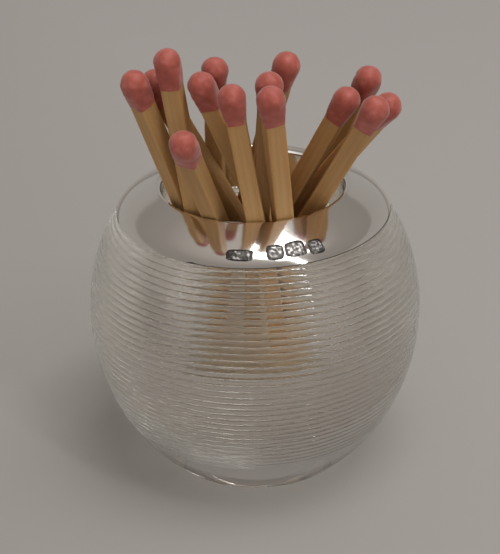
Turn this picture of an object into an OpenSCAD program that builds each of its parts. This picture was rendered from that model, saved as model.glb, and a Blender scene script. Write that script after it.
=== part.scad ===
// Globe match striker: a ringed ball of thick glass with a domed silver collar,
// holding a bunch of wooden matches.
// The origin is the centre of the flat foot. Seen from the front, -Y, the matches fan
// out to both sides.

/* [Glass globe] */
// Widest diameter of the globe, measured over the rings
globe_d = 45; // [42:0.5:50]
// Height of the widest circle above the foot
belly_z = 21; // [19:0.5:23]
// Vertical half axis of the curve above the widest circle
upper_rise = 24.4; // [23.5:0.1:26]
// Vertical half axis of the curve below the widest circle
lower_rise = 26.4; // [25:0.1:29]
// Width of the bevel round the ground foot
foot_bevel = 0.6; // [0.2:0.1:1.2]

/* [Striking rings] */
// Distance from ring to ring, measured along the glass
ring_pitch = 0.88; // [0.7:0.02:1.2]
// Depth of the groove between two rings
ring_depth = 0.14; // [0.08:0.02:0.3]
// Height of the lowest groove above the foot
ring_start_z = 7.2; // [5:0.2:10]
// Width of the plain band between the top groove and the shoulder
ring_end_gap = 0.3; // [0.2:0.1:0.8]

/* [Well and neck] */
// Radius of the well at its mouth, just under the sleeve
well_top_r = 11.9; // [11.4:0.1:12.2]
// Radius of the well at its floor
well_floor_r = 10.4; // [10:0.1:11]
// Height of the well floor above the foot
well_floor_z = 17.8; // [15:0.1:19]
// Radius of the corner between floor and wall
well_corner_r = 0.8; // [0.4:0.1:1.5]
// Height of the glass neck above the shoulder
neck_h = 2.2; // [1.5:0.1:2.4]
// Thickness of the glass neck
neck_wall = 2; // [1.5:0.1:2.4]
// Width of the flat shoulder round the neck, which the collar stands on
shoulder_w = 3.4; // [2.5:0.1:4.5]

/* [Silver collar] */
// Thickness of the silver sheet
sheet_t = 0.45; // [0.3:0.05:0.6]
// How far the edge of the collar stands out past the glass shoulder
collar_lap = 0.1; // [0:0.05:0.3]
// Height of the dome from its edge to the top of the lip
dome_h = 3.5; // [3.3:0.1:4.5]
// Clear radius of the mouth, inside the sleeve
mouth_r = 11.9; // [11.5:0.1:12.2]
// Radius of the rolled lip, measured on the outside of the sheet
lip_r = 1; // [0.7:0.1:1.4]
// How far the sleeve reaches down from the top of the lip
sleeve_l = 6; // [4:0.5:8]
// Gap between the sleeve and the bore of the neck
sleeve_gap = 0.1; // [0.05:0.05:0.3]
// Gap between the end of the sleeve and the ledge in the glass below it
ledge_gap = 0.3; // [0.1:0.1:1]
// Gap between the plaster bedding and what it fills
bed_gap = 0.05; // [0.02:0.01:0.1]

/* [Matches] */
// Whole length of a match
match_l = 42.6; // [40:0.2:44]
// Width of the square stick
stick_w = 2.3; // [2:0.1:2.3]
// Bevel along the edges of the stick
stick_bevel = 0.1; // [0.05:0.05:0.3]
// Length of the head, from the dip line to the tip
head_l = 4.9; // [4.5:0.1:6.5]
// Diameter of the swollen end of the head
head_d = 3.4; // [3.2:0.1:3.6]
// Thickness of the paste on the stick at the dip line
head_skin = 0.15; // [0.1:0.05:0.2]
// Thickness of the paste past the end of the stick
head_cap = 1.4; // [1:0.1:1.8]
// Gap left under the foot of a match
rest_gap = 0.05; // [0.02:0.01:0.2]

/* [Hidden] */
// One row for each match. First the place of its foot in the well, across and back,
// in tenths of the floor radius. Then the place where it passes the lip, in tenths of
// the mouth radius. Then how far its neighbours hold its foot above the floor, in
// tenths of a stick's width, and its turn about its own length, in degrees.
MATCHES = [
    [-4.0, 2.6, -7.4, -3.7, 7.0, 80],
    [4.8, 1.2, -3.0, -2.9, 3.9, 45],
    [-5.0, -3.0, -6.1, -5.9, 7.0, 15],
    [7.2, 0.9, 0.6, -4.2, 4.3, 35],
    [-5.3, 6.4, -4.1, -0.4, 0.9, 75],
    [3.0, -3.8, 0.3, -8.8, 0.0, 25],
    [-0.3, 4.1, -4.0, -7.5, 0.0, 85],
    [-4.0, 7.8, -0.2, 0.4, 12.2, 40],
    [-0.5, -1.5, 0.7, -6.5, 0.0, 80],
    [5.0, -1.8, 3.1, -8.2, 3.5, 30],
    [-2.4, 6.7, 4.2, -2.0, 4.3, 20],
    [3.0, 8.0, 7.7, 0.5, 0.0, 5],
    [1.9, 5.1, 6.8, -4.3, 13.3, 40],
    [-0.8, 8.6, 6.5, -1.2, 17.2, 5],
];

globe_r = globe_d / 2;
turn_fn = 96;
// Every ring is drawn with this many straight facets across its crown
ring_facets = 3;
plain_band_steps = 5;
dome_steps = 12;
lip_steps = 6;
corner_steps = 4;
head_fn = 24;
dip_slab_h = 0.3;
dip_corner_r = 0.4;
dip_corner_fn = 16;

bore_r = mouth_r + sheet_t + sleeve_gap;
neck_r = bore_r + neck_wall;
shoulder_r = neck_r + shoulder_w;
// The globe is cut off level where its outline has the shoulder's radius
shoulder_z = belly_z + upper_rise * sin(acos(shoulder_r / globe_r));
collar_r = shoulder_r + collar_lap;
ring_low_angle = asin((ring_start_z - belly_z) / lower_rise);
ring_top_angle = asin((shoulder_z - ring_end_gap - belly_z) / upper_rise);
collar_top_z = shoulder_z + dome_h;
lip_z = collar_top_z - lip_r;
lip_centre_r = mouth_r + lip_r;
sleeve_end_z = collar_top_z - sleeve_l;
// The dome is an arc of a circle, level at the lip and cut off level on the shoulder
dome_w = collar_r - lip_centre_r;
dome_curve_r = (dome_w * dome_w + dome_h * dome_h) / (2 * dome_h);
dome_centre = [lip_centre_r, collar_top_z - dome_curve_r];

// A point of the globe's outline, at an angle above or below its widest circle,
// sunk below the surface by a depth
function rise_at(angle) = angle > 0 ? upper_rise : lower_rise;
function globe_normal(angle) =
    let (n = [cos(angle) / globe_r, sin(angle) / rise_at(angle)]) n / norm(n);
function globe_point(angle, depth = 0) =
    [globe_r * cos(angle), belly_z + rise_at(angle) * sin(angle)]
    - depth * globe_normal(angle);

// Crowned rings between two angles: each groove is full depth and each crown touches
// the globe's outline
function ring_count(from, to) =
    round((to - from) * PI / 180 * (rise_at(from) + rise_at(to)) / 2 / ring_pitch);
function ring_points(from, to) =
    let (count = ring_count(from, to), steps = count * ring_facets)
    [for (i = [0:steps - 1])
        let (u = (i % ring_facets) / ring_facets)
        globe_point(from + (to - from) * i / steps, ring_depth * pow(2 * u - 1, 2))];

// Part of an ellipse or circle about a centre, from one angle to another
function arc_points(centre, radii, from, to, steps) =
    [for (i = [0:steps])
        let (a = from + (to - from) * i / steps)
        centre + [radii[0] * cos(a), radii[1] * sin(a)]];

foot_edge_angle = asin((foot_bevel - belly_z) / lower_rise);
foot_edge = globe_point(foot_edge_angle);
plain_band_end = ring_low_angle - 180 / PI * ring_pitch / 2 / lower_rise;

function globe_outline() = concat(
    [[0, 0], [foot_edge[0] - foot_bevel, 0]],
    [for (i = [0:plain_band_steps])
        globe_point(foot_edge_angle + (plain_band_end - foot_edge_angle) * i / plain_band_steps)],
    ring_points(ring_low_angle, 0),
    ring_points(0, ring_top_angle),
    [globe_point(ring_top_angle, ring_depth), [shoulder_r, shoulder_z]]
);

function well_outline() = concat(
    [[neck_r, shoulder_z], [neck_r, shoulder_z + neck_h], [bore_r, shoulder_z + neck_h]],
    [[bore_r, sleeve_end_z - ledge_gap], [well_top_r, sleeve_end_z - ledge_gap]],
    arc_points([well_floor_r - well_corner_r, well_floor_z + well_corner_r],
        [well_corner_r, well_corner_r], 0, -90, corner_steps),
    [[0, well_floor_z]]
);

module glass_body() {
    color([0.86, 0.9, 0.9, 0.45])
        rotate_extrude($fn = turn_fn)
            polygon(concat(globe_outline(), well_outline()));
}

// The dome's curve at a depth below the outside of the sheet
function dome_radii(inset) = [dome_curve_r - inset, dome_curve_r - inset];
function dome_edge_angle(inset) = asin((shoulder_z - dome_centre[1]) / (dome_curve_r - inset));
function dome_rising(inset) =
    arc_points(dome_centre, dome_radii(inset), dome_edge_angle(inset), 90, dome_steps);
function dome_falling(inset) =
    arc_points(dome_centre, dome_radii(inset), 90, dome_edge_angle(inset), dome_steps);

module collar() {
    lip_centre = [lip_centre_r, lip_z];
    color([0.85, 0.85, 0.87])
        rotate_extrude($fn = turn_fn)
            polygon(concat(
                dome_rising(0),
                arc_points(lip_centre, [lip_r, lip_r], 90, 180, lip_steps),
                [[mouth_r, sleeve_end_z], [mouth_r + sheet_t, sleeve_end_z]],
                arc_points(lip_centre, [lip_r - sheet_t, lip_r - sheet_t], 180, 90, lip_steps),
                dome_falling(sheet_t)
            ));
}

// Set plaster between the glass neck and the dome
module collar_bedding() {
    low_z = shoulder_z + bed_gap;
    over_neck_z = shoulder_z + neck_h + bed_gap;
    curve = dome_rising(sheet_t + bed_gap);
    color([0.93, 0.92, 0.88])
        rotate_extrude($fn = turn_fn)
            intersection() {
                polygon(concat([[lip_centre_r, low_z]], curve));
                union() {
                    translate([neck_r + bed_gap, low_z])
                        square([collar_r, dome_h]);
                    translate([lip_centre_r, over_neck_z])
                        square([collar_r, dome_h]);
                }
            }
}

// Where a match stands. Its foot is lifted until its lowest corner clears the floor.
function lean_of(v) = acos(v.z / norm(v));
function heading_of(v) = atan2(v.y, v.x);
function lip_place(m) = [m[2] * mouth_r / 10, m[3] * mouth_r / 10, lip_z];
function foot_place(m, lift) =
    [m[0] * well_floor_r / 10, m[1] * well_floor_r / 10,
        well_floor_z + m[4] * stick_w / 10 + lift];
function corner_drop(lean, twist) =
    stick_w / 2 * sin(lean) * (abs(cos(twist)) + abs(sin(twist)));
function foot_of(m) =
    let (lean = lean_of(lip_place(m) - foot_place(m, stick_w / 4)))
    foot_place(m, rest_gap + corner_drop(lean, m[5]));

module stand(m) {
    foot = foot_of(m);
    aim = lip_place(m) - foot;
    translate(foot)
        rotate([0, lean_of(aim), heading_of(aim)])
            rotate([0, 0, m[5]])
                children();
}

module stick_section() {
    half = stick_w / 2;
    cut = half - stick_bevel;
    polygon([[cut, -half], [half, -cut], [half, cut], [cut, half],
        [-cut, half], [-half, cut], [-half, -cut], [-cut, -half]]);
}

module stick_bar() {
    linear_extrude(match_l - head_cap)
        stick_section();
}

module match_stick(m) {
    color([0.87, 0.72, 0.45])
        stand(m)
            stick_bar();
}

// The paste swells from a skin on the square stick to a round end
module match_head(m) {
    corner = stick_w / 2 + head_skin - dip_corner_r;
    color([0.86, 0.42, 0.43])
        stand(m)
            difference() {
                hull() {
                    for (x = [-corner, corner], y = [-corner, corner])
                        translate([x, y, match_l - head_l])
                            cylinder(r = dip_corner_r, h = dip_slab_h, $fn = dip_corner_fn);
                    translate([0, 0, match_l - head_d / 2])
                        sphere(d = head_d, $fn = head_fn);
                }
                stick_bar();
            }
}

function match_name(i, piece) = str("match_", i < 9 ? "0" : "", i + 1, "_", piece);
function stick_name(i) = match_name(i, "stick");
function head_name(i) = match_name(i, "head");

glass_body();
collar_bedding();
collar();
for (i = [0:len(MATCHES) - 1]) {
    match_stick(MATCHES[i]);
    match_head(MATCHES[i]);
}
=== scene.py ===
# The looks of the globe match striker: ringed glass, silver collar, wooden matches.
import math
import bpy
import numpy as np
from mathutils import Matrix, Vector, noise


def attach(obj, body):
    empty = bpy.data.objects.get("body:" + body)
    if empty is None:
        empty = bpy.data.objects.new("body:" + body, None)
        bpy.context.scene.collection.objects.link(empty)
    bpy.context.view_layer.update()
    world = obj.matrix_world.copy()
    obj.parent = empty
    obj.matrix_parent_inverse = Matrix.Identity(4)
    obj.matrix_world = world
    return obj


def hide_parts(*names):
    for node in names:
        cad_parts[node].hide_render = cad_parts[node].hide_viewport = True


MM = 0.001
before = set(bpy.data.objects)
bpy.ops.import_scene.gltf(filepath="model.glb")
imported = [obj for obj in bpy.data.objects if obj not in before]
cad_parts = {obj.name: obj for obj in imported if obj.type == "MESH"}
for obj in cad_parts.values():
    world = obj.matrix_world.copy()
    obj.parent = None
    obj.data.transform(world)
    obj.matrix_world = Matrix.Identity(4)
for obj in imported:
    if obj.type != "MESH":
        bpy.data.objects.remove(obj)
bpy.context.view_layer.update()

# Sizes in millimetres, as in the part's source
GLOBE_R, BELLY_Z, UPPER_RISE, LOWER_RISE = 22.5, 21.0, 24.4, 26.4
RING_PITCH, RING_DEPTH, RING_START_Z, RING_END_GAP = 0.88, 0.14, 7.2, 0.3
WELL_TOP_R, WELL_FLOOR_R, WELL_FLOOR_Z, WELL_CORNER_R = 11.9, 10.4, 17.8, 0.8
MOUTH_R, SHEET_T, LIP_R, DOME_H, SLEEVE_L = 11.9, 0.45, 1.0, 3.5, 6.0
NECK_H, BORE_R, NECK_R, SHOULDER_R = 2.2, 12.45, 14.45, 17.85
FOOT_BEVEL, LEDGE_GAP, BED_GAP = 0.6, 0.3, 0.05
SHOULDER_Z = BELLY_Z + UPPER_RISE * math.sin(math.acos(SHOULDER_R / GLOBE_R))
COLLAR_TOP_Z = SHOULDER_Z + DOME_H
LIP_Z = COLLAR_TOP_Z - LIP_R
LIP_CENTRE_R = MOUTH_R + LIP_R
SLEEVE_END_Z = COLLAR_TOP_Z - SLEEVE_L
LEDGE_Z = SLEEVE_END_Z - LEDGE_GAP
STICK_W, MATCH_L, HEAD_L, HEAD_D = 2.3, 42.6, 4.9, 3.4
MATCH_COUNT = 14


# Meshes

def mesh_object(name, verts, faces, mat, smooth_angle=None):
    me = bpy.data.meshes.new(name)
    me.from_pydata([tuple(v) for v in verts], [], faces)
    me.validate()
    me.materials.append(mat)
    if smooth_angle is not None:
        me.polygons.foreach_set("use_smooth", [True] * len(me.polygons))
        me.set_sharp_from_angle(angle=math.radians(smooth_angle))
    me.update()
    ob = bpy.data.objects.new(name, me)
    bpy.context.scene.collection.objects.link(ob)
    return ob


def turned(r, z, a):
    """A point in metres, from a radius and a height in millimetres and an angle from the front."""
    return (r * math.sin(a) * MM, -r * math.cos(a) * MM, z * MM)


def lathe(name, profile, segments, mat, smooth_angle):
    """An outline of radii and heights in millimetres, turned about the upright axis.

    An outline that starts off the axis is closed from its last point to its first."""
    verts, rows, faces = [], [], []
    for r, z in profile:
        around = segments if r else 1
        rows.append(list(range(len(verts), len(verts) + around)))
        verts += [turned(r, z, 2 * math.pi * i / segments) for i in range(around)]
    pairs = list(zip(rows, rows[1:]))
    if profile[0][0]:
        pairs.append((rows[-1], rows[0]))
    for a, b in pairs:
        for i in range(segments):
            j = (i + 1) % segments
            if len(a) == 1:
                faces.append((a[0], b[j], b[i]))
            elif len(b) == 1:
                faces.append((a[i], a[j], b[0]))
            else:
                faces.append((a[i], a[j], b[j], b[i]))
    return mesh_object(name, verts, faces, mat, smooth_angle)


def tube_faces(rings, around):
    """Faces between each ring of points and the next."""
    faces = []
    for k in range(rings - 1):
        for i in range(around):
            j = (i + 1) % around
            faces.append((k * around + i, k * around + j, (k + 1) * around + j, (k + 1) * around + i))
    return faces


def arc(centre_r, centre_z, wide, high, start, end, steps):
    """Points of a round or elliptic arc between two angles in degrees."""
    angles = [math.radians(start + (end - start) * i / steps) for i in range(steps + 1)]
    return [(centre_r + wide * math.cos(a), centre_z + high * math.sin(a)) for a in angles]


def placed(axes, point):
    """A matrix from three axes and the point where they start."""
    matrix = Matrix.Identity(4)
    for i, axis in enumerate(axes):
        for k in range(3):
            matrix[k][i] = axis[k]
    matrix.translation = point
    return matrix


# Materials, whose lengths are in metres

def principled(name, colour, rough, metallic=0.0, **more):
    mat = bpy.data.materials.new(name)
    mat.use_nodes = True
    shader = mat.node_tree.nodes["Principled BSDF"]
    shader.inputs["Base Color"].default_value = (*colour, 1)
    shader.inputs["Roughness"].default_value = rough
    shader.inputs["Metallic"].default_value = metallic
    for key, value in more.items():
        shader.inputs[key.replace("_", " ")].default_value = value
    return mat, mat.node_tree, shader


def node(tree, kind, inputs=None, **props):
    n = tree.nodes.new(kind)
    for key, value in props.items():
        setattr(n, key, value)
    for key, value in (inputs or {}).items():
        if isinstance(value, bpy.types.NodeSocket):
            tree.links.new(value, n.inputs[key])
        else:
            n.inputs[key].default_value = value
    return n


def ramp(tree, share, stops):
    n = node(tree, "ShaderNodeValToRGB", {"Fac": share})
    while len(n.color_ramp.elements) < len(stops):
        n.color_ramp.elements.new(0.5)
    for element, (position, colour) in zip(n.color_ramp.elements, stops):
        element.position = position
        element.color = (*colour, 1)
    return n.outputs["Color"]


def coordinates(tree, kind="Object"):
    return node(tree, "ShaderNodeTexCoord").outputs[kind]


def grain(tree, scale, detail, turn=(0, 0, 0), **more):
    """A noise in the object's own frame, finer along an axis where its scale is larger."""
    way = node(tree, "ShaderNodeMapping", {"Vector": coordinates(tree), "Scale": scale, "Rotation": turn})
    inputs = {"Vector": way.outputs["Vector"], "Scale": 1.0, "Detail": detail, **more}
    return node(tree, "ShaderNodeTexNoise", inputs).outputs["Fac"]


def bump(tree, height, strength, distance, **more):
    inputs = {"Height": height, "Strength": strength, "Distance": distance, **more}
    return node(tree, "ShaderNodeBump", inputs).outputs["Normal"]


# The glass is tinted by height, up to this height in metres: partly for its thickness low down, and partly
# as painted shade, darkest a little above the foot, for the shaded floor seen through the lower glass.
TINT_TOP = 0.024
GLASS_TINT_AND_SHADE = (
    (0.0, (0.9, 0.86, 0.81)),
    (0.33, (0.45, 0.42, 0.385)),
    (0.6, (0.63, 0.595, 0.535)),
    (1.0, (0.98, 0.95, 0.88)),
)
SHADOW_LET_THROUGH = 0.72


def glass_material(name, rough):
    mat, tree, shader = principled(name, (0.87, 0.845, 0.79), rough, Transmission_Weight=1.0, IOR=1.5)
    height = node(tree, "ShaderNodeSeparateXYZ", {0: coordinates(tree)}).outputs["Z"]
    tint_height = node(tree, "ShaderNodeMapRange", {"Value": height, "From Min": 0.0, "From Max": TINT_TOP})
    # Painted shade: the tint by height darkens the lower glass, besides its own colour.
    tree.links.new(ramp(tree, tint_height.outputs[0], GLASS_TINT_AND_SHADE), shader.inputs["Base Color"])
    shadow = node(tree, "ShaderNodeLightPath").outputs["Is Shadow Ray"]
    share = node(tree, "ShaderNodeMath", {0: shadow, 1: SHADOW_LET_THROUGH}, operation="MULTIPLY")
    clear = node(tree, "ShaderNodeBsdfTransparent", {"Color": (0.985, 0.98, 0.965, 1)})
    inputs = {0: share.outputs[0], 1: shader.outputs[0], 2: clear.outputs[0]}
    mix = node(tree, "ShaderNodeMixShader", inputs)
    tree.links.new(mix.outputs[0], tree.nodes["Material Output"].inputs["Surface"])
    return mat


def silver_material():
    mat, tree, shader = principled("silver", (0.86, 0.82, 0.77), rough=0.09, metallic=1.0)
    scratched = grain(tree, (2500, 300, 2500), detail=3.0, turn=(0.2, 0.1, 0.5))
    worn = grain(tree, (110, 110, 110), detail=4.0)
    rough = node(tree, "ShaderNodeMapRange", {"Value": worn, "To Min": 0.05, "To Max": 0.16})
    tree.links.new(rough.outputs[0], shader.inputs["Roughness"])
    dents = bump(tree, worn, strength=0.12, distance=0.0003)
    scratches = bump(tree, scratched, strength=0.06, distance=0.00004, Normal=dents)
    tree.links.new(scratches, shader.inputs["Normal"])
    return mat


WOOD_TONES = (
    (0.3, (0.345, 0.185, 0.064)),
    (0.5, (0.415, 0.238, 0.09)),
    (0.7, (0.475, 0.298, 0.132)),
)


def wood_material():
    soak = {"Subsurface_Weight": 0.4, "Subsurface_Scale": 0.0025, "Subsurface_Radius": (1.0, 0.5, 0.15)}
    mat, tree, shader = principled("wood", (0.42, 0.28, 0.13), rough=0.62, **soak)
    fine = grain(tree, (2600, 2600, 60), detail=5.0, Roughness=0.65)
    bands = grain(tree, (700, 700, 25), detail=2.0)
    mixed = node(tree, "ShaderNodeMix", {0: 0.5, 2: fine, 3: bands}, data_type="FLOAT")
    colour = ramp(tree, mixed.outputs[0], WOOD_TONES)
    chance = node(tree, "ShaderNodeObjectInfo").outputs["Random"]
    tone = node(tree, "ShaderNodeMapRange", {"Value": chance, "To Min": 0.88, "To Max": 1.1})
    shade = node(tree, "ShaderNodeHueSaturation", {"Color": colour, "Value": tone.outputs[0]})
    tree.links.new(shade.outputs[0], shader.inputs["Base Color"])
    tree.links.new(bump(tree, fine, strength=0.35, distance=0.00005), shader.inputs["Normal"])
    return mat


PASTE_TONES = (
    (0.3, (0.28, 0.052, 0.032)),
    (0.52, (0.34, 0.072, 0.05)),
    (0.72, (0.42, 0.108, 0.086)),
)


def paste_material():
    skin = {"Specular_IOR_Level": 0.35, "Sheen_Weight": 0.25}
    mat, tree, shader = principled("paste", (0.34, 0.085, 0.058), rough=0.55, **skin)
    lumps = grain(tree, (900, 900, 900), detail=4.0)
    fine = grain(tree, (5000, 5000, 5000), detail=2.0)
    tree.links.new(ramp(tree, lumps, PASTE_TONES), shader.inputs["Base Color"])
    tree.links.new(bump(tree, fine, strength=0.35, distance=0.00006), shader.inputs["Normal"])
    return mat


FRAME_TONES = (
    (0.5, (0.03, 0.027, 0.025)),
    (0.62, (0.07, 0.065, 0.06)),
    (0.75, (0.2, 0.19, 0.18)),
)
MIDDLE_TONES = (
    (0.42, (0.045, 0.042, 0.04)),
    (0.55, (0.12, 0.112, 0.105)),
    (0.66, (0.42, 0.4, 0.38)),
)


def mark_material(name, tones):
    """Tarnished silver with worn spots."""
    mat, tree, shader = principled(name, (0.25, 0.23, 0.22), rough=0.38, metallic=1.0)
    spots = grain(tree, (2600, 2600, 2600), detail=3.0)
    tree.links.new(ramp(tree, spots, tones), shader.inputs["Base Color"])
    tree.links.new(bump(tree, spots, strength=0.6, distance=0.0001), shader.inputs["Normal"])
    return mat


GLASS = glass_material("glass", rough=0.0)
GROUND_GLASS = glass_material("ground_glass", rough=0.4)
SILVER, WOOD, PASTE = silver_material(), wood_material(), paste_material()
PLASTER = principled("plaster", (0.45, 0.42, 0.37), rough=0.85)[0]
MARK_FRAME = mark_material("mark_frame", FRAME_TONES)
MARK_MIDDLE = mark_material("mark_middle", MIDDLE_TONES)
# A near-black material for the painted shade line under the collar's edge
PAINTED_GAP_SHADE = principled("painted_gap_shade", (0.05, 0.04, 0.03), rough=0.7)[0]


# Glass globe

# Steps of one ring from cut to cut, closer together where the cut is steep
RING_STEPS = (0.0, 0.012, 0.025, 0.04, 0.06, 0.15, 0.3, 0.5, 0.7, 0.85, 0.94, 0.96, 0.975, 0.988)
# Shares of the depth for the round crown and the steep cut, and how the cut starts and grows
CROWN_SHARE, CUT_SHARE, CUT_START, CUT_POWER = 0.5, 0.42, 0.88, 1.5
# The lowest rings are shallow, and grow by this share of the depth from ring to ring.
LOWEST_SHARE, SHARE_PER_RING = 0.2, 0.16
BAND_STEPS, WALL_STEPS, WELL_CORNER_STEPS = 10, 12, 8
BEVEL_MIDDLE_IN, BEVEL_MIDDLE_Z, SHOULDER_BEVEL = 0.3, 0.12, 0.1
GLASS_SEGMENTS = 144


def rise_at(a):
    """Half height of the curve above or below its widest circle."""
    return UPPER_RISE if a > 0 else LOWER_RISE


def globe_point(a, depth=0.0):
    """A point of the curve that the rings follow, or one that lies so much deeper in the glass."""
    normal = Vector((math.cos(a) / GLOBE_R, math.sin(a) / rise_at(a))).normalized()
    r, z = GLOBE_R * math.cos(a), BELLY_Z + rise_at(a) * math.sin(a)
    return (r - depth * normal.x, z - depth * normal.y)


def groove(u):
    """Depth at a share of a ring's width, deepest at both ends."""
    t = abs(2 * u - 1)
    cut = max(0.0, (t - CUT_START) / (1 - CUT_START)) ** CUT_POWER
    return RING_DEPTH * (CROWN_SHARE * t * t + CUT_SHARE * cut)


def ring_points(start, end):
    """The rings between two angles of the curve."""
    count = round((end - start) * (rise_at(start) + rise_at(end)) / 2 / RING_PITCH)
    points = []
    for i in range(count):
        for u in RING_STEPS:
            share = min(1.0, LOWEST_SHARE + SHARE_PER_RING * (i + u)) if start < 0 else 1.0
            points.append(globe_point(start + (end - start) * (i + u) / count, groove(u) * share))
    return points


def glass_outline():
    """From the middle of the foot up the outside, over the neck and down into the well."""
    foot_a = math.asin((FOOT_BEVEL - BELLY_Z) / LOWER_RISE)
    low_a = math.asin((RING_START_Z - BELLY_Z) / LOWER_RISE)
    top_a = math.asin((SHOULDER_Z - RING_END_GAP - BELLY_Z) / UPPER_RISE)
    band_a = low_a - RING_PITCH / 2 / LOWER_RISE
    foot_r = globe_point(foot_a)[0]
    points = [(0, 0), (foot_r - FOOT_BEVEL, 0), (foot_r - BEVEL_MIDDLE_IN, BEVEL_MIDDLE_Z)]
    points += [globe_point(foot_a + (band_a - foot_a) * i / BAND_STEPS) for i in range(BAND_STEPS + 1)]
    points += ring_points(low_a, 0) + ring_points(0, top_a) + [globe_point(top_a, RING_DEPTH)]
    points += [(SHOULDER_R, SHOULDER_Z - SHOULDER_BEVEL), (SHOULDER_R - SHOULDER_BEVEL, SHOULDER_Z)]
    points += [(NECK_R, SHOULDER_Z), (NECK_R, SHOULDER_Z + NECK_H), (BORE_R, SHOULDER_Z + NECK_H)]
    points += [(BORE_R, LEDGE_Z), (WELL_TOP_R, LEDGE_Z)]
    wall_h = LEDGE_Z - WELL_FLOOR_Z - WELL_CORNER_R
    slope = (WELL_TOP_R - WELL_FLOOR_R) / wall_h
    for i in range(1, WALL_STEPS):
        z = LEDGE_Z - i * wall_h / WALL_STEPS
        points.append((WELL_FLOOR_R + slope * (z - WELL_FLOOR_Z - WELL_CORNER_R), z))
    corner = (WELL_FLOOR_R - WELL_CORNER_R, WELL_FLOOR_Z + WELL_CORNER_R)
    points += arc(*corner, WELL_CORNER_R, WELL_CORNER_R, 0, -90, WELL_CORNER_STEPS)
    return points + [(0, WELL_FLOOR_Z)]


def grind(glass, hair=0.01):
    """Ground faces: the foot, everything under the collar and the floor of the well."""
    glass.data.materials.append(GROUND_GLASS)
    for face in glass.data.polygons:
        r, z = face.center.xy.length / MM, face.center.z / MM
        well_floor = r < WELL_TOP_R and z < WELL_FLOOR_Z + WELL_CORNER_R
        if z < hair or z > SHOULDER_Z - hair or well_floor:
            face.material_index = 1


glass = lathe("globe", glass_outline(), GLASS_SEGMENTS, GLASS, smooth_angle=50.0)
grind(glass)
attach(glass, "root")
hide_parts("glass_body")


# Silver collar and its bedding

# The dome is flatter by the lip and steeper at its edge than an arc. Tilts are in degrees.
DOME_START, DOME_END = (12.835, 39.296), (18.06, 35.83)
START_TILT, END_TILT = 27, 57
EDGE_R, EDGE_Z = DOME_END
LIP_WIDE, LIP_START, LIP_STEPS = 0.7, 70.4, 20
EDGE_T, HEEL_T, HEEL_UP = 0.15, 0.22, 0.02
INSIDE_START_UP, BED_START_UP, BED_NECK_GAP, BED_LIP_H = 0.1, 0.15, 0.3, 0.35
COLLAR_SEGMENTS, BED_SEGMENTS = 160, 96
# The range in which the dome's power is looked for, and how closely its curve has to lead to its end
LEAST_POWER, MOST_POWER, SMALL_MISS, SMALL_STEP = 0.2, 8.0, 1e-5, 1e-6


def curve(start, end, first_tilt, last_tilt, steps=40):
    """Points, tilts and lengths of a curve whose tilt grows from one end to the other.

    The power by which it grows is found by halving, so that the curve leads to its end."""
    low, high = LEAST_POWER, MOST_POWER
    while True:
        power = (low + high) / 2
        shares = [(i / steps) ** power for i in range(steps + 1)]
        tilts = [math.radians(first_tilt + (last_tilt - first_tilt) * share) for share in shares]
        x, y = [0.0], [0.0]
        for a, b in zip(tilts, tilts[1:]):
            x.append(x[-1] + math.cos((a + b) / 2))
            y.append(y[-1] - math.sin((a + b) / 2))
        miss = math.atan2(-y[-1], x[-1]) - math.atan2(start[1] - end[1], end[0] - start[0])
        if abs(miss) < SMALL_MISS or high - low < SMALL_STEP:
            break
        low, high = (power, high) if miss > 0 else (low, power)
    size = (end[0] - start[0]) / x[-1]
    return [(start[0] + a * size, start[1] + b * size, t, i * size)
            for i, (a, b, t) in enumerate(zip(x, y, tilts))]


DOME = curve(DOME_START, DOME_END, START_TILT, END_TILT)
INSIDE = [(r - SHEET_T * math.sin(tilt), z - SHEET_T * math.cos(tilt)) for r, z, tilt, along in DOME]


def collar_outline():
    """Up the dome from its edge, over the lip, down the sleeve and back along the inside."""
    points = [(r, z) for r, z, tilt, along in DOME][::-1]
    points += arc(MOUTH_R + LIP_WIDE, LIP_Z, LIP_WIDE, LIP_R, LIP_START, 180, LIP_STEPS)[1:]
    points += [(MOUTH_R, SLEEVE_END_Z), (MOUTH_R + SHEET_T, SLEEVE_END_Z), (MOUTH_R + SHEET_T, LIP_Z)]
    points += [(r, z) for r, z in INSIDE if z > SHOULDER_Z + INSIDE_START_UP]
    return points + [(EDGE_R - HEEL_T, SHOULDER_Z + HEEL_UP), (EDGE_R - EDGE_T, EDGE_Z)]


def bedding_outline():
    """Up from the dome's edge to the lip, then back over the neck and down its side."""
    low_z, over_neck_z = SHOULDER_Z + BED_GAP, SHOULDER_Z + NECK_H + BED_GAP
    dome = [(r - BED_GAP, z - BED_GAP) for r, z in INSIDE
            if r > NECK_R + BED_NECK_GAP and z > SHOULDER_Z + BED_START_UP]
    points = [(NECK_R + BED_GAP, low_z), (NECK_R + BED_GAP, over_neck_z)]
    points += [(LIP_CENTRE_R, over_neck_z), (LIP_CENTRE_R, SHOULDER_Z + NECK_H + BED_LIP_H)]
    points += dome + [(dome[-1][0], low_z)]
    return points[::-1]


collar = lathe("silver_collar", collar_outline(), COLLAR_SEGMENTS, SILVER, smooth_angle=50.0)
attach(collar, "root")
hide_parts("collar")
bedding = lathe("plaster_bedding", bedding_outline(), BED_SEGMENTS, PLASTER, smooth_angle=40.0)
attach(bedding, "root")
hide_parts("collar_bedding")


# Blank marks and the painted shade line under the collar's edge

# Rings of points from a mark's middle to its rim: share of its half size, and lift off the dome
MARK_RINGS = ((0.0, 0.012), (0.3, 0.012), (0.68, 0.012), (0.8, 0.014), (0.9, 0.012), (1.0, -0.02))
MIDDLE_RINGS = 2
MARK_AROUND, MARK_SQUARENESS, MARK_WAVE, MARK_WAVES = 48, 4, 0.09, 1.7
# Azimuth in degrees, distance from the lip, half width in degrees and half height of each mark
MARKS = ((-5.9, 4.6, 6.0, 0.82), (8.8, 4.35, 4.1, 1.12), (17.6, 4.2, 5.0, 1.16), (26.8, 4.45, 3.8, 1.05))
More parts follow.
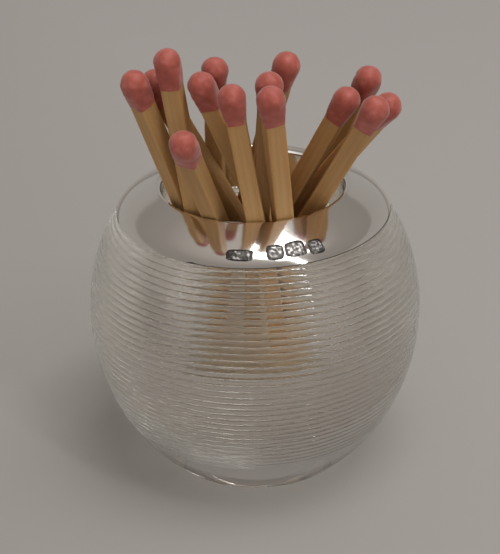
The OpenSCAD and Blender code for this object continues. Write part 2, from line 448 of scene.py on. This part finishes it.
# Azimuths in degrees of the painted shade line's ends and of the nick where it is thickest
LINE_START, LINE_END, LINE_STEPS, NICK = -27, 88, 90, -24.5
LINE_H, LINE_FADE, NICK_H, NICK_WIDE = 0.1, 12, 0.14, 1.6
LINE_WAVE, LINE_WAVES, LINE_LEAST, LINE_DOWN, LINE_LIFT = 0.012, 0.4, 0.005, 0.02, 0.006


def on_dome(azimuth, along, lift):
    """A point of the dome, by its azimuth in degrees and its distance from the lip in millimetres."""
    i = min(range(len(DOME) - 1), key=lambda k: abs((DOME[k][3] + DOME[k + 1][3]) / 2 - along))
    t = (along - DOME[i][3]) / (DOME[i + 1][3] - DOME[i][3])
    r, z, tilt = (DOME[i][k] + (DOME[i + 1][k] - DOME[i][k]) * t for k in range(3))
    return turned(r + lift * math.sin(tilt), z + lift * math.cos(tilt), math.radians(azimuth))


def blank_mark(name, azimuth, along, half_wide, half_high, seed):
    """A worn blank cushion of dark silver that bears no letter, figure or symbol."""
    verts, faces = [], []
    for k, (share, lift) in enumerate(MARK_RINGS):
        for i in range(MARK_AROUND if k else 1):
            a = 2 * math.pi * i / MARK_AROUND
            c, s = math.cos(a), math.sin(a)
            reach = share * (abs(c) ** MARK_SQUARENESS + abs(s) ** MARK_SQUARENESS) ** (-1 / MARK_SQUARENESS)
            reach *= 1 + MARK_WAVE * noise.noise(Vector((c * MARK_WAVES + seed, s * MARK_WAVES, seed)))
            verts.append(on_dome(azimuth + half_wide * reach * c, along + half_high * reach * s, lift))
    for i in range(MARK_AROUND):
        j = (i + 1) % MARK_AROUND
        faces.append((0, 1 + j, 1 + i))
        for k in range(len(MARK_RINGS) - 2):
            a, b = 1 + k * MARK_AROUND, 1 + (k + 1) * MARK_AROUND
            faces.append((a + i, a + j, b + j, b + i))
    ob = mesh_object(name, verts, faces, MARK_FRAME, smooth_angle=60.0)
    ob.data.materials.append(MARK_MIDDLE)
    for face in ob.data.polygons:
        face.material_index = 1 if face.index % (len(MARK_RINGS) - 1) < MIDDLE_RINGS else 0
    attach(ob, "root")


def edge_gap():
    """A dark strip of painted shade under the collar's edge, at the front and on the right."""
    verts, faces = [], []
    for i in range(LINE_STEPS + 1):
        azimuth = LINE_START + (LINE_END - LINE_START) * i / LINE_STEPS
        high = LINE_H * min(1, (LINE_END - azimuth) / LINE_FADE)
        high += NICK_H * math.exp(-((azimuth - NICK) / NICK_WIDE) ** 2)
        high += LINE_WAVE * noise.noise(Vector((azimuth * LINE_WAVES, 0, 0)))
        for z in (EDGE_Z - LINE_DOWN, EDGE_Z + max(high, LINE_LEAST)):
            verts.append(turned(EDGE_R + LINE_LIFT, z, math.radians(azimuth)))
    for i in range(LINE_STEPS):
        faces.append((2 * i, 2 * i + 2, 2 * i + 3, 2 * i + 1))
    ob = mesh_object("edge_gap", verts, faces, PAINTED_GAP_SHADE, smooth_angle=60.0)
    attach(ob, "root")


for i, place in enumerate(MARKS, 1):
    blank_mark(f"blank_mark_{i}", *place, i)
edge_gap()


# Matches

STICK_BEVEL, STICK_TOP_GAP, SIDE_STEPS, STICK_STEPS = 0.12, 1.4, 5, 56
# How deep and how closely spaced the coarse and the fine hollows of the wood are
COARSE_DEPTH, COARSE_SCALE, FINE_DEPTH, FINE_SCALE = 0.035, 1.1, 0.02, 3.7
# Steps through the noise from match to match and from coarse to fine, and its stretch along a stick
SEED_ACROSS, SEED_BACK, FINE_SEED, DRAWN_OUT = 7.3, 3.1, 5, 0.35
HEAD_RINGS, HEAD_AROUND, HEAD_SKIN = 26, 40, 0.13
# Shares of the head's rings for the skin and the round end, and how the skin's outline rounds
SKIN_SHARE, ROUND_SHARE, SKIN_SQUARENESS, ROUNDING, SWELL_POWER = 0.55, 0.45, 5.5, 3.5, 1.25
LUMP_DEPTH, LUMP_SCALE, LUMP_SEED = 0.1, 0.8, 3.7
DIP_SHARE, DIP_UP, DIP_WAVE, DIP_WAVES, DIP_SEED = 0.3, 0.12, 0.15, 1.3, 5.1


def stand_of(ob):
    """Foot and axes of a stick, read from its solid."""
    points = np.array([v.co for v in ob.data.vertices], float)
    centre = np.unique(np.round(points, 7), axis=0).mean(0)
    up = np.linalg.svd(points - centre, full_matrices=False)[2][0]
    up = up if up[2] > 0 else -up
    normal = np.array(max(ob.data.polygons, key=lambda p: p.area).normal)
    across = normal - normal.dot(up) * up
    across /= np.linalg.norm(across)
    foot = centre + up * ((points - centre) @ up).min()
    return placed((across, np.cross(up, across), up), Vector(foot))


def hollows(point, scale, seed):
    """Noise that is drawn out along the stick."""
    x, y, z = (value * scale for value in point)
    return noise.noise(Vector((x + seed * SEED_ACROSS, y - seed * SEED_BACK, z * DRAWN_OUT + seed)))


def stick_mesh(name, seed):
    half, length = STICK_W / 2, MATCH_L - STICK_TOP_GAP
    ring = []
    for quarter in range(4):
        a = math.pi / 2 * quarter
        for i in range(SIDE_STEPS + 1):
            y = (half - STICK_BEVEL) * (2 * i / SIDE_STEPS - 1)
            ring.append((half * math.cos(a) - y * math.sin(a), half * math.sin(a) + y * math.cos(a)))
    verts, around = [], len(ring)
    for k in range(STICK_STEPS + 1):
        z = length * k / STICK_STEPS
        for x, y in ring:
            inward = 1 - COARSE_DEPTH * abs(hollows((x, y, z), COARSE_SCALE, seed))
            inward -= FINE_DEPTH * abs(hollows((x, y, z), FINE_SCALE, seed + FINE_SEED))
            verts.append((x * inward * MM, y * inward * MM, z * MM))
    faces = tube_faces(STICK_STEPS + 1, around)
    faces += [tuple(range(around))[::-1], tuple(range(STICK_STEPS * around, len(verts)))]
    return mesh_object(name, verts, faces, WOOD, smooth_angle=35.0)


def head_ring(t, c, s):
    """Radius and height at a share of the head's rings, from the square dip line to the round tip."""
    end_r, dip_half = HEAD_D / 2, STICK_W / 2 + HEAD_SKIN
    if t < SKIN_SHARE:
        share = t / SKIN_SHARE
        power = SKIN_SQUARENESS - ROUNDING * share
        reach = (abs(c) ** power + abs(s) ** power) ** (-1 / power)
        swell = dip_half + (end_r - dip_half) * share ** SWELL_POWER
        return reach * swell, MATCH_L - HEAD_L + (HEAD_L - end_r) * share
    angle = (t - SKIN_SHARE) / ROUND_SHARE * math.pi / 2
    return end_r * math.cos(angle), MATCH_L - end_r + end_r * math.sin(angle)


def head_mesh(name, seed):
    """Lumpy paste with a wavy dip line."""
    verts = []
    for k in range(HEAD_RINGS):
        t = k / (HEAD_RINGS - 1)
        for i in range(HEAD_AROUND):
            a = 2 * math.pi * i / HEAD_AROUND
            c, s = math.cos(a), math.sin(a)
            r, z = head_ring(t, c, s)
            spot = Vector((c * r * LUMP_SCALE + seed * LUMP_SEED, s * r * LUMP_SCALE, z * LUMP_SCALE))
            lump = 1 - LUMP_DEPTH * abs(noise.noise(spot))
            if t < DIP_SHARE:
                wave = noise.noise(Vector((c * DIP_WAVES + seed * DIP_SEED, s * DIP_WAVES, seed)))
                z += (DIP_SHARE - t) / DIP_SHARE * (DIP_UP + DIP_WAVE * wave)
            verts.append((c * r * lump * MM, s * r * lump * MM, z * MM))
    faces = tube_faces(HEAD_RINGS, HEAD_AROUND) + [tuple(range(HEAD_AROUND))[::-1]]
    return mesh_object(name, verts, faces, PASTE, smooth_angle=60.0)


for i in range(1, MATCH_COUNT + 1):
    stick_node, head_node = f"match_{i:02d}_stick", f"match_{i:02d}_head"
    place = stand_of(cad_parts[stick_node])
    for make, cad, slot_name in ((stick_mesh, stick_node, "wood"), (head_mesh, head_node, "paste")):
        ob = make(cad + "_look", i)
        ob.matrix_world = place
        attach(ob, "root")
        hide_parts(cad)


# Floor, in metres

FLOOR_HALF, FLOOR_Z = 3, -2e-5
# Painted shade: the floor's colour darkens along this slant to the left and the front, where the lamps'
# light falls off.
FLOOR_LIGHT_SLANT, SHADED_END, LIT_END = (0.9, 0.45, 0.0), -0.07, 0.05
FLOOR_SHADE_TONES = ((0.0, (0.29, 0.27, 0.25)), (1.0, (0.345, 0.324, 0.308)))
DISC_R, DISC_Z, DISC_SIDES = 0.0125, -1e-5, 48


def floor_material():
    """A floor with painted shade, a little darker to the left and the front, where the lamps' light falls
    off.
    """
    mat, tree, shader = principled("floor", (0.343, 0.322, 0.306), rough=0.7, Specular_IOR_Level=0.2)
    inputs = {0: coordinates(tree), 1: FLOOR_LIGHT_SLANT}
    slant = node(tree, "ShaderNodeVectorMath", inputs, operation="DOT_PRODUCT").outputs["Value"]
    share = node(tree, "ShaderNodeMapRange", {"Value": slant, "From Min": SHADED_END, "From Max": LIT_END})
    tree.links.new(ramp(tree, share.outputs[0], FLOOR_SHADE_TONES), shader.inputs["Base Color"])
    return mat


def floor_sheet():
    signs = ((-1, -1), (1, -1), (1, 1), (-1, 1))
    corners = [(x * FLOOR_HALF, y * FLOOR_HALF, FLOOR_Z) for x, y in signs]
    return mesh_object("floor", corners, [(0, 1, 2, 3)], floor_material())


def pale_disc():
    """It stands in for the light that the glass gathers under its foot."""
    mat = principled("pale_disc", (0.34, 0.24, 0.145), rough=0.8)[0]
    turn = [2 * math.pi * i / DISC_SIDES for i in range(DISC_SIDES)]
    verts = [(DISC_R * math.cos(a), DISC_R * math.sin(a), DISC_Z) for a in turn]
    return mesh_object("disc_under_foot", verts, [tuple(range(DISC_SIDES))], mat)


floor = floor_sheet()
disc = pale_disc()


# Lights

LAMP_AIM = Vector((0, 0, 0.03))
ROOM_TONES = (
    (0.0, (0.36, 0.345, 0.33)),
    (0.44, (0.33, 0.315, 0.3)),
    (0.47, (0.24, 0.225, 0.21)),
    (0.75, (0.27, 0.25, 0.23)),
    (0.92, (0.38, 0.355, 0.33)),
    (1.0, (0.42, 0.39, 0.365)),
)
WINDOW_FRONT = ((0.25, (0, 0, 0)), (0.8, (1, 0.99, 0.97)))
WINDOW_LOW = ((0.38, (1, 1, 1)), (0.54, (0, 0, 0)))


def lamp(name, azimuth, elevation, distance, wide, high, radiance):
    """A softbox that faces the glass, in degrees and metres. Azimuth 0 is the front, 90 the right."""
    data = bpy.data.lights.new(name, "AREA")
    data.shape = "RECTANGLE"
    data.size, data.size_y = wide, high
    data.energy = radiance * math.pi * wide * high
    ob = bpy.data.objects.new(name, data)
    a, e = math.radians(azimuth), math.radians(elevation)
    back = Vector((math.sin(a) * math.cos(e), -math.cos(a) * math.cos(e), math.sin(e)))
    ob.location = LAMP_AIM + back * distance
    ob.rotation_euler = back.to_track_quat("Z", "Y").to_euler()
    bpy.context.scene.collection.objects.link(ob)


def room_light():
    """A dim room, darker just above the horizon, with a low bright window behind the camera."""
    world = bpy.data.worlds.new("world")
    bpy.context.scene.world = world
    world.use_nodes = True
    sky = world.node_tree
    axes = node(sky, "ShaderNodeSeparateXYZ", {0: coordinates(sky, "Generated")})
    room = ramp(sky, axes.outputs["Z"], ROOM_TONES)
    back = node(sky, "ShaderNodeMath", {0: axes.outputs["Y"], 1: -1.0}, operation="MULTIPLY")
    front = ramp(sky, back.outputs[0], WINDOW_FRONT)
    low = ramp(sky, axes.outputs["Z"], WINDOW_LOW)
    colours = {"data_type": "RGBA"}
    window = node(sky, "ShaderNodeMix", {0: 1.0, 6: front, 7: low}, blend_type="MULTIPLY", **colours)
    inputs = {0: 1.0, 6: room, 7: window.outputs[2]}
    whole = node(sky, "ShaderNodeMix", inputs, blend_type="ADD", **colours)
    sky.links.new(whole.outputs[2], sky.nodes["Background"].inputs["Color"])


lamp("key", azimuth=61, elevation=76.5, distance=1.2, wide=0.645, high=0.645, radiance=6.9)
lamp("strip", azimuth=44, elevation=50, distance=1.0, wide=0.04, high=0.6, radiance=26)
room_light()


# The photo's camera, with its place in millimetres and its focal length in the photo's pixels

CAMERA_RIGHT = Vector((0.99982, -0.0059, -0.01815))
CAMERA_UP = Vector((0.01878, 0.47283, 0.88095))
CAMERA_FORWARD = Vector((-0.00338, 0.88113, -0.47286))
CAMERA_PLACE = Vector((0, -156.56, 109.08))
FOCAL_PIXELS, PHOTO_HEIGHT, SENSOR = 1306, 554, 36

cam = bpy.data.objects.new("camera", bpy.data.cameras.new("camera"))
bpy.context.scene.collection.objects.link(cam)
cam.matrix_world = placed((CAMERA_RIGHT, CAMERA_UP, -CAMERA_FORWARD), CAMERA_PLACE * MM)
cam.data.sensor_width = SENSOR
cam.data.lens = FOCAL_PIXELS * SENSOR / PHOTO_HEIGHT
cam.data.clip_start, cam.data.clip_end = 0.01, 20
bpy.context.scene.camera = cam
bpy.context.scene.view_settings.view_transform = "Standard"
